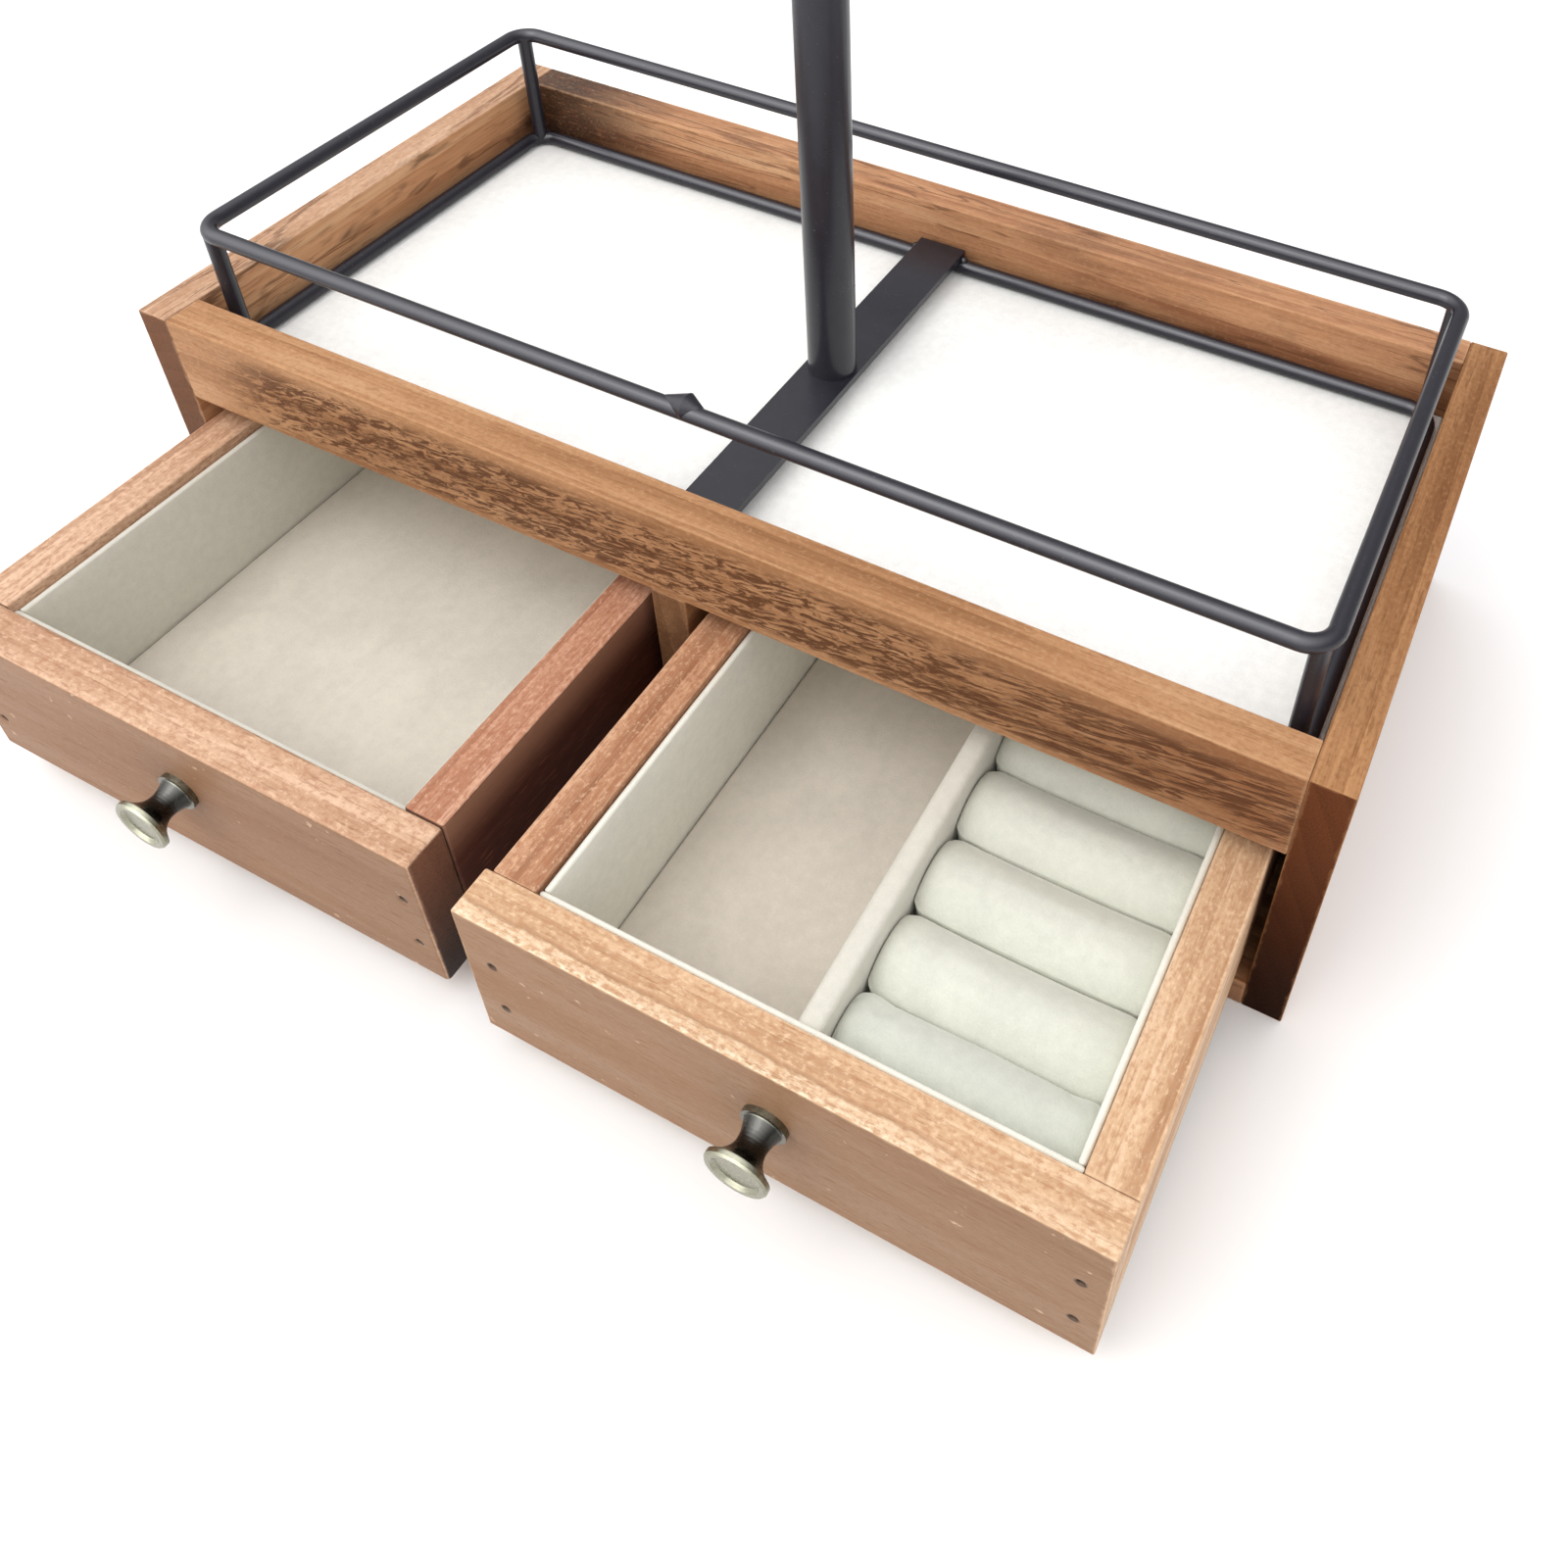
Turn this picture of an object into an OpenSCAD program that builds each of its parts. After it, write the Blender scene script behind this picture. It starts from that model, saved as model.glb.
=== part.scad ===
// Tabletop jewellery stand: a wooden case with two side-by-side drawers, an open
// padded tray on top, a wire rack standing in the tray and a post with two
// necklace arms. Drawn with both drawers pulled out. X runs left to right,
// Y front to back and Z up. The origin is the middle of the case's footprint.

/* [Case] */
// Outside width of the case
case_w = 300; // [280:1:340]
// Outside depth of the case, front to back
case_d = 145; // [140:1:160]
// Outside height of the case
case_h = 81; // [79:1:95]
// Thickness of the two side boards and the centre divider
side_t = 9; // [8:0.5:10]
// Thickness of the front rail and the back board
rail_t = 10; // [9:0.5:11]
// Height of the front rail
rail_h = 24; // [23:1:26]
// Thickness of the bottom board
bottom_t = 8; // [7:0.5:8]

/* [Tray] */
// Depth of the tray, from the top of the case down to the pad
tray_depth = 17; // [15:0.5:18]
// Thickness of the velvet tray pad
pad_t = 2.5; // [2:0.5:4]
// Gap between the pad and the boards around it
pad_gap = 0.6; // [0.3:0.1:1.5]

/* [Rack] */
// Diameter of the rack's wire
wire_d = 4; // [3:0.5:5]
// Distance from the inside of the tray to the wire's centre line
wire_inset = 3.6; // [2.8:0.1:6]
// Height of the upper rail's centre line above the top of the case
rail_rise = 19; // [12:1:40]
// Radius of the rack's corners, on the wire's centre line
corner_r = 6; // [5:0.5:12]
// Width of the flat strap across the rack
strap_w = 13.5; // [12.5:0.5:20]
// Thickness of the strap
strap_t = 2; // [1.5:0.5:3]

/* [Post] */
// Outside diameter of the post
post_d = 12; // [11:0.5:14]
// Wall thickness of the post's tube
post_wall = 1; // [0.8:0.1:1.2]
// Height of the post above the strap
post_h = 284; // [240:1:340]
// Diameter of the necklace arms
arm_d = 6; // [5:0.5:7]
// Length of the lower necklace arm
arm_lower_l = 230; // [160:1:260]
// Length of the upper necklace arm
arm_upper_l = 170; // [120:1:220]
// Height between the two arms
arm_spacing = 70; // [50:1:90]

/* [Drawers] */
// Height of the drawers' boards
drawer_h = 42.6; // [38:0.2:46]
// Gap between the drawer's sides and its opening, on each side
side_gap = 2.75; // [1.8:0.05:3]
// Gap under the drawer
under_gap = 0.4; // [0.3:0.1:1]
// Gap behind the drawer when it is shut
behind_gap = 1; // [0.5:0.5:4]
// Thickness of the drawers' fronts and sides
drawer_t = 10; // [9:0.5:11]
// Thickness of the drawers' backs
drawer_back_t = 8; // [7:0.5:10]
// Thickness of the drawers' bottoms
drawer_bottom_t = 3; // [2.5:0.5:4]
// How far the left drawer is pulled out
left_pull = 75; // [0:1:100]
// How far the right drawer is pulled out
right_pull = 78; // [0:1:100]
// How far the right drawer's front overhangs its left side
front_overhang = 1.6; // [0:0.1:1.7]

/* [Linings] */
// Thickness of the velvet-covered liner walls
liner_t = 1.5; // [1:0.1:2]
// Thickness of the liner's floor
liner_floor_t = 2.5; // [2:0.1:4]
// Depth of the left liner's edge below the top of its drawer
left_liner_drop = 2.5; // [1:0.1:5]
// Depth of the right liner's edge below the top of its drawer
right_liner_drop = 1.3; // [1:0.1:5]
// Thickness of the right drawer's divider
velvet_divider_t = 5; // [4:0.5:8]
// Depth of the divider's top below the top of the drawer
velvet_divider_drop = 3; // [2:0.5:8]
// Number of ring rolls, front to back
roll_count = 6; // [5:1:6]
// Depth of the rolls' crests below the top of the drawer
roll_drop = 8; // [7:0.5:12]

/* [Knobs] */
// Diameter of the knob's face
knob_face_d = 13; // [12:0.5:16]
// Diameter of the knob's base
knob_base_d = 9.6; // [9:0.1:13]
// Diameter of the knob's waist
knob_waist_d = 5.2; // [5:0.2:7]
// How far the knob stands out from the drawer's front
knob_l = 10.5; // [10:0.5:16]

/* [Hidden] */
$fn = 64;

// Case
front_y = -case_d / 2;
inner_w = case_w - 2 * side_t;
tray_back_y = case_d / 2 - rail_t;
tray_front_y = front_y + rail_t;
tray_l = tray_back_y - tray_front_y;
tray_mid_y = (tray_back_y + tray_front_y) / 2;
opening_top = case_h - rail_h;
pad_top = case_h - tray_depth;
tray_board_t = pad_top - pad_t - opening_top;
divider_l = tray_back_y - front_y;
opening_w = (inner_w - side_t) / 2;

// Brads that hold the boards: diameter, length and how far the heads are sunk
brad_d = 1.6;
brad_l = 20;
brad_sink = 0.6;
case_brad_places = concat(
    [for (z = [opening_top + 6, case_h - 6]) [tray_front_y - rail_t / 2, z]],
    [for (z = [20, 44, 70]) [tray_back_y + rail_t / 2, z]],
    [for (y = [-50, 0, 50]) [y, bottom_t / 2]]
);
drawer_brad_drops = [15, 31];

// Rack
rack_x = inner_w / 2 - wire_inset;
rack_y = tray_l / 2 - wire_inset;
lower_z = pad_top + wire_d / 2;
upper_z = case_h + rail_rise;
strap_z = pad_top + wire_d;
corner_shift = corner_r * (1 - sqrt(0.5));
bead_d = 6.1;
bead_lengths = [3.5, 5.5];
bead_shift = [0, 0.75, 0.9];

// Post
post_z = strap_z + strap_t;
post_bore_d = post_d - 2 * post_wall;
arm_upper_z = post_z + post_h - 12;
arm_lower_z = arm_upper_z - arm_spacing;
plug_l = 14;
screw_d = 5;
screw_head_d = 9;
screw_head_t = 2.6;
ball_d = 10;
ball_bore_l = 6;

// Drawers: every drawer is drawn centred on its front face, then put in place
drawer_w = opening_w - 2 * side_gap;
drawer_l = divider_l - behind_gap;
drawer_z = bottom_t + under_gap;
drawer_x = (side_t + opening_w) / 2;
drawer_in_w = drawer_w - 2 * drawer_t;
drawer_in_l = drawer_l - drawer_t - drawer_back_t;
bottom_lift = 1.5;
liner_z = bottom_lift + drawer_bottom_t;
liner_gap = 0.2;
liner_w = drawer_in_w - 2 * liner_gap;
liner_l = drawer_in_l - 2 * liner_gap;
liner_floor = liner_z + liner_floor_t;
lined_w = liner_w - 2 * liner_t;
lined_l = liner_l - 2 * liner_t;
lined_y = drawer_t + liner_gap + liner_t;
roll_gap = 0.3;
roll_pitch = lined_l / roll_count;
// The whole row sits this far forward, and the front roll is that much narrower
roll_shift = 4;
roll_crest_r = 11;
velvet_divider_x = -0.5;
roll_x = velvet_divider_x + velvet_divider_t + roll_gap;
roll_l = lined_w / 2 - roll_x - roll_gap;
roll_top = drawer_h - roll_drop;

// Knobs
knob_drop = 18;
knob_z = drawer_h - knob_drop;
knob_flange_t = 1.2;
knob_rim_t = 1.3;
knob_dish = 0.7;
knob_screw_d = 3;
knob_screw_hole_d = 3.4;
knob_screw_head_d = 6.5;
knob_screw_head_t = 2.2;
knob_bore_l = 6;
knob_curve_steps = 12;

wood = "peru";
dark_metal = "dimgray";
velvet = "lightgray";

// ---- Shared shapes ----

// A board from one corner to the other
module board(from, to) {
    translate(from) cube(to - from);
}

// The case's brads, or the holes for them when they reach past the face
module case_brad_set(past_face) {
    for (side = [-1, 1], place = case_brad_places)
        translate([side * (case_w / 2 - brad_sink), place[0], place[1]])
            rotate([0, -side * 90, 0])
                translate([0, 0, -past_face])
                    cylinder(d = brad_d, h = brad_l + past_face);
}

// One drawer's brads, or the holes for them when they reach past the face
module drawer_brad_set(past_face) {
    for (side = [-1, 1], drop = drawer_brad_drops)
        translate([side * (drawer_w - drawer_t) / 2, brad_sink - past_face, drawer_h - drop])
            rotate([-90, 0, 0]) cylinder(d = brad_d, h = brad_l + past_face);
}

// A rounded rectangle of round wire, centred, at its own centre line's height
module wire_loop(half_x, half_y) {
    straight_x = half_x - corner_r;
    straight_y = half_y - corner_r;
    for (side = [-1, 1]) {
        translate([-straight_x, side * half_y, 0])
            rotate([0, 90, 0]) cylinder(d = wire_d, h = 2 * straight_x);
        translate([side * half_x, straight_y, 0])
            rotate([90, 0, 0]) cylinder(d = wire_d, h = 2 * straight_y);
    }
    for (quarter = [0:3])
        translate([
            (quarter == 0 || quarter == 3 ? 1 : -1) * straight_x,
            (quarter < 2 ? 1 : -1) * straight_y,
            0
        ])
            rotate([0, 0, quarter * 90])
                rotate_extrude(angle = 90)
                    translate([corner_r, 0]) circle(d = wire_d);
}

// Puts a drawer's piece at its place: side is -1 for the left drawer, 1 for the right
module in_drawer(side) {
    pull = side < 0 ? left_pull : right_pull;
    translate([side * drawer_x, front_y - pull, drawer_z]) children();
}

// A pan-head screw standing on its head, with the shank pointing up
module screw(head_d, head_t, shank_d, shank_l) {
    cylinder(d1 = head_d * 0.8, d2 = head_d, h = head_t * 0.4);
    translate([0, 0, head_t * 0.4]) cylinder(d = head_d, h = head_t * 0.6);
    cylinder(d = shank_d, h = head_t + shank_l);
}

// ---- Case ----

module side_board(side) {
    color(wood) difference() {
        board([side < 0 ? -case_w / 2 : inner_w / 2, front_y, 0],
              [side < 0 ? -inner_w / 2 : case_w / 2, case_d / 2, case_h]);
        case_brad_set(brad_sink + 1);
    }
}

module front_rail() {
    color("saddlebrown") difference() {
        board([-inner_w / 2, front_y, opening_top], [inner_w / 2, tray_front_y, case_h]);
        case_brad_set(0);
    }
}

module back_board() {
    color("sienna") difference() {
        board([-inner_w / 2, tray_back_y, 0], [inner_w / 2, case_d / 2, case_h]);
        case_brad_set(0);
    }
}

module bottom_board() {
    color(wood) difference() {
        board([-inner_w / 2, front_y, 0], [inner_w / 2, tray_back_y, bottom_t]);
        case_brad_set(0);
    }
}

module centre_divider() {
    color(wood)
        board([-side_t / 2, front_y, bottom_t], [side_t / 2, tray_back_y, opening_top]);
}

module tray_board() {
    color("tan")
        board([-inner_w / 2, tray_front_y, opening_top],
              [inner_w / 2, tray_back_y, opening_top + tray_board_t]);
}

module tray_pad() {
    color("ivory")
        board([-inner_w / 2 + pad_gap, tray_front_y + pad_gap, pad_top - pad_t],
              [inner_w / 2 - pad_gap, tray_back_y - pad_gap, pad_top]);
}

module case_brads() {
    color("darkslategray") case_brad_set(0);
}

// ---- Rack ----

module rack_rail(z) {
    translate([0, tray_mid_y, z]) wire_loop(rack_x, rack_y);
}

module rack_upper_rail() {
    color(dark_metal) rack_rail(upper_z);
}

module rack_lower_rail() {
    color(dark_metal) rack_rail(lower_z);
}

// A corner post, coped to sit on the round wire above and below it
module rack_post(side_x, side_y) {
    color(dark_metal) difference() {
        translate([
            side_x * (rack_x - corner_shift),
            tray_mid_y + side_y * (rack_y - corner_shift),
            lower_z
        ])
            cylinder(d = wire_d, h = upper_z - lower_z);
        rack_rail(lower_z);
        rack_rail(upper_z);
    }
}

// The lump where the ends of the upper rail's wire are joined, on the wire's upper side
module rack_joint_bead() {
    color(dark_metal) difference() {
        translate([0, tray_mid_y - rack_y, upper_z] + bead_shift)
            rotate([0, 90, 0])
                for (end = [0, 1])
                    mirror([0, 0, end])
                        cylinder(d1 = bead_d, d2 = wire_d / 2, h = bead_lengths[end]);
        rack_rail(upper_z);
    }
}

module rack_cross_strap() {
    color(dark_metal) difference() {
        translate([-strap_w / 2, tray_mid_y - rack_y - wire_d / 2, strap_z])
            cube([strap_w, 2 * rack_y + wire_d, strap_t]);
        translate([0, tray_mid_y, strap_z - 1]) cylinder(d = screw_d + 0.4, h = strap_t + 2);
    }
}

// Small welds in the corners between the strap's sides and the lower rail
module strap_weld_beads() {
    color(dark_metal) difference() {
        for (side_x = [-1, 1], side_y = [-1, 1])
            translate([side_x * (strap_w / 2 + 0.6), tray_mid_y + side_y * rack_y, strap_z])
                sphere(d = 2.4);
        rack_rail(lower_z);
        translate([-strap_w / 2, tray_mid_y - rack_y - wire_d, strap_z])
            cube([strap_w, 2 * rack_y + 2 * wire_d, strap_t]);
    }
}

// ---- Post ----

module post_tube() {
    color(dark_metal) difference() {
        translate([0, tray_mid_y, post_z]) cylinder(d = post_d, h = post_h);
        translate([0, tray_mid_y, post_z - 1]) cylinder(d = post_bore_d, h = post_h + 2);
        for (z = [arm_lower_z, arm_upper_z])
            translate([-post_d, tray_mid_y, z])
                rotate([0, 90, 0]) cylinder(d = arm_d, h = 2 * post_d);
    }
}

module post_foot_plug() {
    color("silver") difference() {
        translate([0, tray_mid_y, post_z]) cylinder(d = post_bore_d, h = plug_l);
        translate([0, tray_mid_y, post_z - 1]) cylinder(d = screw_d, h = plug_l - 1);
    }
}

module post_screw() {
    color("silver")
        translate([0, tray_mid_y, strap_z - screw_head_t])
            screw(screw_head_d, screw_head_t, screw_d, strap_t + plug_l - 4);
}

module post_top_cap() {
    color(dark_metal) translate([0, tray_mid_y, post_z + post_h]) {
        cylinder(d = post_d, h = 1);
        translate([0, 0, 1]) cylinder(d1 = post_d, d2 = post_d - 2, h = 1);
        translate([0, 0, -5]) cylinder(d = post_bore_d, h = 5);
    }
}

module necklace_arm(length, z) {
    color(dark_metal)
        translate([-length / 2, tray_mid_y, z])
            rotate([0, 90, 0]) cylinder(d = arm_d, h = length);
}

module arm_end_balls() {
    color(dark_metal) difference() {
        for (arm = [[arm_lower_l, arm_lower_z], [arm_upper_l, arm_upper_z]], side = [-1, 1])
            translate([side * (arm[0] / 2 + ball_d / 2 - ball_bore_l), tray_mid_y, arm[1]])
                sphere(d = ball_d);
        necklace_arm(arm_lower_l, arm_lower_z);
        necklace_arm(arm_upper_l, arm_upper_z);
    }
}

// ---- Drawers ----

module drawer_front(side) {
    left_overhang = side > 0 ? front_overhang : 0;
    color(wood) in_drawer(side) difference() {
        board([-drawer_w / 2 - left_overhang, 0, 0], [drawer_w / 2, drawer_t, drawer_h]);
        drawer_brad_set(brad_sink + 1);
        translate([0, -1, knob_z])
            rotate([-90, 0, 0]) cylinder(d = knob_screw_hole_d, h = drawer_t + 2);
        translate([0, drawer_t - knob_screw_head_t, knob_z])
            rotate([-90, 0, 0]) cylinder(d = knob_screw_head_d + 0.5, h = knob_screw_head_t + 1);
    }
}

module drawer_side(side, hand) {
    inner = drawer_w / 2 - drawer_t;
    color(wood) in_drawer(side) difference() {
        board([hand < 0 ? -drawer_w / 2 : inner, drawer_t, 0],
              [hand < 0 ? -inner : drawer_w / 2, drawer_l, drawer_h]);
        drawer_brad_set(0);
    }
}

module drawer_back(side) {
    color(wood) in_drawer(side)
        board([-drawer_in_w / 2, drawer_l - drawer_back_t, 0], [drawer_in_w / 2, drawer_l, drawer_h]);
}

module drawer_bottom(side) {
    color("tan") in_drawer(side)
        board([-drawer_in_w / 2, drawer_t, bottom_lift],
              [drawer_in_w / 2, drawer_l - drawer_back_t, liner_z]);
}

module drawer_liner(side) {
    drop = side < 0 ? left_liner_drop : right_liner_drop;
    liner_h = drawer_h - drop - liner_z;
    color(velvet) in_drawer(side) translate([-liner_w / 2, drawer_t + liner_gap, liner_z])
        difference() {
            cube([liner_w, liner_l, liner_h]);
            translate([liner_t, liner_t, liner_floor_t]) cube([lined_w, lined_l, liner_h]);
        }
}

module drawer_brads(side) {
    color("darkslategray") in_drawer(side) drawer_brad_set(0);
}

// Half the knob's width at a part of the way from its base to its rim
function knob_flare(part) =
    let (fall = (knob_base_d / 2 - 0.8 - knob_waist_d / 2) * pow(1 - part, 3),
         rise = (knob_face_d / 2 - knob_waist_d / 2) * pow(part, 4))
    knob_waist_d / 2 + fall + rise;

module drawer_knob(side) {
    stem_l = knob_l - knob_flange_t - knob_rim_t;
    color("slategray") in_drawer(side) translate([0, 0, knob_z]) rotate([90, 0, 0])
        difference() {
            rotate_extrude() polygon(concat(
                [[0, 0], [knob_base_d / 2, 0], [knob_base_d / 2, knob_flange_t]],
                [for (step = [0:knob_curve_steps])
                    let (part = step / knob_curve_steps)
                    [knob_flare(part), knob_flange_t + stem_l * part]],
                [[knob_face_d / 2, knob_l - 0.4],
                 [knob_face_d / 2 - 0.4, knob_l],
                 [knob_face_d / 2 - 1.4, knob_l],
                 [knob_face_d / 2 - 2.2, knob_l - knob_dish],
                 [0, knob_l - knob_dish]]
            ));
            translate([0, 0, -1]) cylinder(d = knob_screw_d, h = knob_bore_l + 1);
        }
}

module drawer_knob_screw(side) {
    color("silver") in_drawer(side) translate([0, drawer_t, knob_z]) rotate([90, 0, 0])
        screw(knob_screw_head_d, knob_screw_head_t, knob_screw_d,
              drawer_t - knob_screw_head_t + knob_bore_l - 1);
}

module right_drawer_divider() {
    color(velvet) in_drawer(1)
        board([velvet_divider_x, lined_y, liner_floor],
              [velvet_divider_x + velvet_divider_t, lined_y + lined_l,
               drawer_h - velvet_divider_drop]);
}

// A bar of foam with an arched crest, running left to right. Number 1 is the front one
module ring_roll(number) {
    front = max(0, roll_pitch * (number - 1) - roll_shift) + roll_gap;
    back = roll_pitch * number - roll_shift - roll_gap;
    color("gainsboro") in_drawer(1)
        translate([roll_x, lined_y, 0])
            rotate([90, 0, 90]) linear_extrude(roll_l) intersection() {
                translate([front, liner_floor])
                    square([back - front, roll_top - liner_floor]);
                translate([(front + back) / 2, 0]) {
                    translate([0, roll_top - roll_crest_r]) circle(r = roll_crest_r);
                    translate([-roll_crest_r, liner_floor])
                        square([2 * roll_crest_r, roll_top - roll_crest_r - liner_floor]);
                }
            }
}

side_board(-1);  // side_board_left
side_board(1);  // side_board_right
front_rail();
back_board();
bottom_board();
centre_divider();
tray_board();
tray_pad();
case_brads();
rack_upper_rail();
rack_lower_rail();
rack_post(-1, -1);  // rack_post_front_left
rack_post(1, -1);  // rack_post_front_right
rack_post(-1, 1);  // rack_post_back_left
rack_post(1, 1);  // rack_post_back_right
rack_joint_bead();
rack_cross_strap();
strap_weld_beads();
post_tube();
post_foot_plug();
post_screw();
post_top_cap();
necklace_arm(arm_lower_l, arm_lower_z);  // necklace_arm_lower
necklace_arm(arm_upper_l, arm_upper_z);  // necklace_arm_upper
arm_end_balls();
drawer_front(-1);  // left_drawer_front
drawer_side(-1, -1);  // left_drawer_left_side
drawer_side(-1, 1);  // left_drawer_right_side
drawer_back(-1);  // left_drawer_back
drawer_bottom(-1);  // left_drawer_bottom
drawer_liner(-1);  // left_drawer_liner
drawer_knob(-1);  // left_drawer_knob
drawer_knob_screw(-1);  // left_drawer_knob_screw
drawer_brads(-1);  // left_drawer_brads
drawer_front(1);  // right_drawer_front
drawer_side(1, -1);  // right_drawer_left_side
drawer_side(1, 1);  // right_drawer_right_side
drawer_back(1);  // right_drawer_back
drawer_bottom(1);  // right_drawer_bottom
drawer_liner(1);  // right_drawer_liner
drawer_knob(1);  // right_drawer_knob
drawer_knob_screw(1);  // right_drawer_knob_screw
drawer_brads(1);  // right_drawer_brads
right_drawer_divider();
ring_roll(1);  // ring_roll_1
ring_roll(2);  // ring_roll_2
ring_roll(3);  // ring_roll_3
ring_roll(4);  // ring_roll_4
ring_roll(5);  // ring_roll_5
ring_roll(6);  // ring_roll_6
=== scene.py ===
"""Looks of the tabletop jewellery stand: oiled wood, velvet linings, powder-coated wire and aged knobs.

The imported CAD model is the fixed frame. The boards and the metal keep their CAD shapes and get
materials, and the boards' edges are softened. Every velvet piece is built here and stands for its
plain CAD solid.
"""

import math

import bmesh
import bpy
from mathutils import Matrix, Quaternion, Vector, noise


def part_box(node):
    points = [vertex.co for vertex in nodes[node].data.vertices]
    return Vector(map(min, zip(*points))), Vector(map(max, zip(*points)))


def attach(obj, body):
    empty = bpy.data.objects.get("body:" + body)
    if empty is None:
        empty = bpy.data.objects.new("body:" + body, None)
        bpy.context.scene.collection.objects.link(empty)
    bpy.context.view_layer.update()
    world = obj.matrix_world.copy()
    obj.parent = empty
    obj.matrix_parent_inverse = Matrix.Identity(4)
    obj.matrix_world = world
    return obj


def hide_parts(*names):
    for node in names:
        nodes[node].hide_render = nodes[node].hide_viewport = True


MM = 0.001

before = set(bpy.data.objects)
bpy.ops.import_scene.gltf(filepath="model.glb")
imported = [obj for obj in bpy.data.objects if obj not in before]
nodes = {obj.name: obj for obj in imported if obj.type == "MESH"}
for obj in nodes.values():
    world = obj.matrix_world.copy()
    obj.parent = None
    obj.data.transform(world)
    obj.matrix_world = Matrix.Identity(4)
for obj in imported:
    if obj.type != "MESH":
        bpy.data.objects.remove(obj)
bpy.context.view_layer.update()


# ---------------------------------------------------------------- node graphs


class Graph:
    """A material's node tree. Each method adds a node and returns the socket that it feeds."""

    def __init__(self, name):
        self.material = bpy.data.materials.new(name)
        self.material.use_nodes = True
        self.tree = self.material.node_tree
        self.tree.nodes.clear()
        self.coords = self.add("ShaderNodeTexCoord")

    def add(self, kind, inputs=None, **settings):
        node = self.tree.nodes.new(kind)
        for key, value in settings.items():
            setattr(node, key, value)
        for key, value in (inputs or {}).items():
            self.feed(node.inputs[key], value)
        return node

    def feed(self, socket, value):
        if isinstance(value, bpy.types.NodeSocket):
            self.tree.links.new(value, socket)
        elif hasattr(value, "__len__") and len(value) == 3 and socket.type == "RGBA":
            socket.default_value = (*value, 1)
        else:
            socket.default_value = value

    @property
    def point(self):
        return self.coords.outputs["Object"]

    @property
    def normal(self):
        return self.coords.outputs["Normal"]

    def math(self, operation, a, b=0.0, c=0.0):
        node = self.add("ShaderNodeMath", {0: a, 1: b, 2: c}, operation=operation)
        return node.outputs[0]

    def vector(self, operation, a, b):
        node = self.add("ShaderNodeVectorMath", {0: a, 1: b}, operation=operation)
        return node.outputs["Value" if operation == "DOT_PRODUCT" else "Vector"]

    def place(self, vector, scale, offset=(0, 0, 0)):
        inputs = {"Vector": vector, "Scale": scale, "Location": offset}
        return self.add("ShaderNodeMapping", inputs).outputs[0]

    def split(self, vector):
        return self.add("ShaderNodeSeparateXYZ", {0: vector}).outputs

    def combine(self, x, y, z):
        return self.add("ShaderNodeCombineXYZ", {0: x, 1: y, 2: z}).outputs[0]

    def noise(self, vector, scale, detail=2.0, roughness=0.5, distortion=0.0):
        inputs = {
            "Vector": vector,
            "Scale": scale,
            "Detail": detail,
            "Roughness": roughness,
            "Distortion": distortion,
        }
        return self.add("ShaderNodeTexNoise", inputs).outputs[0]

    def ramp(self, value, low, high, to_low=0.0, to_high=1.0):
        """value from low..high, eased and clamped, to to_low..to_high."""
        inputs = {0: value, 1: low, 2: high, 3: to_low, 4: to_high}
        node = self.add("ShaderNodeMapRange", inputs, interpolation_type="SMOOTHSTEP")
        return node.outputs[0]

    def tones(self, value, stops):
        """A colour ramp through (place, colour) stops."""
        node = self.add("ShaderNodeValToRGB", {0: value})
        elements = node.color_ramp.elements
        while len(elements) < len(stops):
            elements.new(0.5)
        for element, (place, colour) in zip(elements, stops):
            element.position = place
            element.color = (*colour, 1)
        return node.outputs[0]

    def times(self, first, *others):
        """The product of all the values."""
        for other in others:
            first = self.math("MULTIPLY", first, other)
        return first

    def apart(self, a, b):
        """How far two values lie apart."""
        return self.math("ABSOLUTE", self.math("SUBTRACT", a, b))

    def vary(self, base, field, amount, middle=0.5):
        """base, moved by how far a field lies above or below its middle."""
        return self.math("MULTIPLY_ADD", self.math("SUBTRACT", field, middle), amount, base)

    def mix(self, factor, a, b, blend="MIX"):
        node = self.add("ShaderNodeMix", data_type="RGBA", blend_type=blend)
        self.feed(node.inputs[0], factor)
        self.feed(node.inputs[6], a)
        self.feed(node.inputs[7], b)
        return node.outputs[2]

    def shade(self, colour, level):
        """A colour made darker or lighter by a level that changes over the surface."""
        return self.mix(1.0, colour, self.combine(level, level, level), "MULTIPLY")

    def bump(self, height, distance, strength):
        inputs = {"Height": height, "Distance": distance, "Strength": strength}
        return self.add("ShaderNodeBump", inputs).outputs[0]

    def finish(self, **inputs):
        """Closes the tree with a Principled shader. Keys use _ for the spaces in its socket names."""
        shader = self.add("ShaderNodeBsdfPrincipled")
        for key, value in inputs.items():
            self.feed(shader.inputs[key.replace("_", " ")], value)
        output = self.add("ShaderNodeOutputMaterial")
        self.tree.links.new(shader.outputs[0], output.inputs["Surface"])
        return self.material


# ---------------------------------------------------------------- wood

AXES = {"X": (1, 0, 0), "Y": (0, 1, 0), "Z": (0, 0, 1)}

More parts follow.
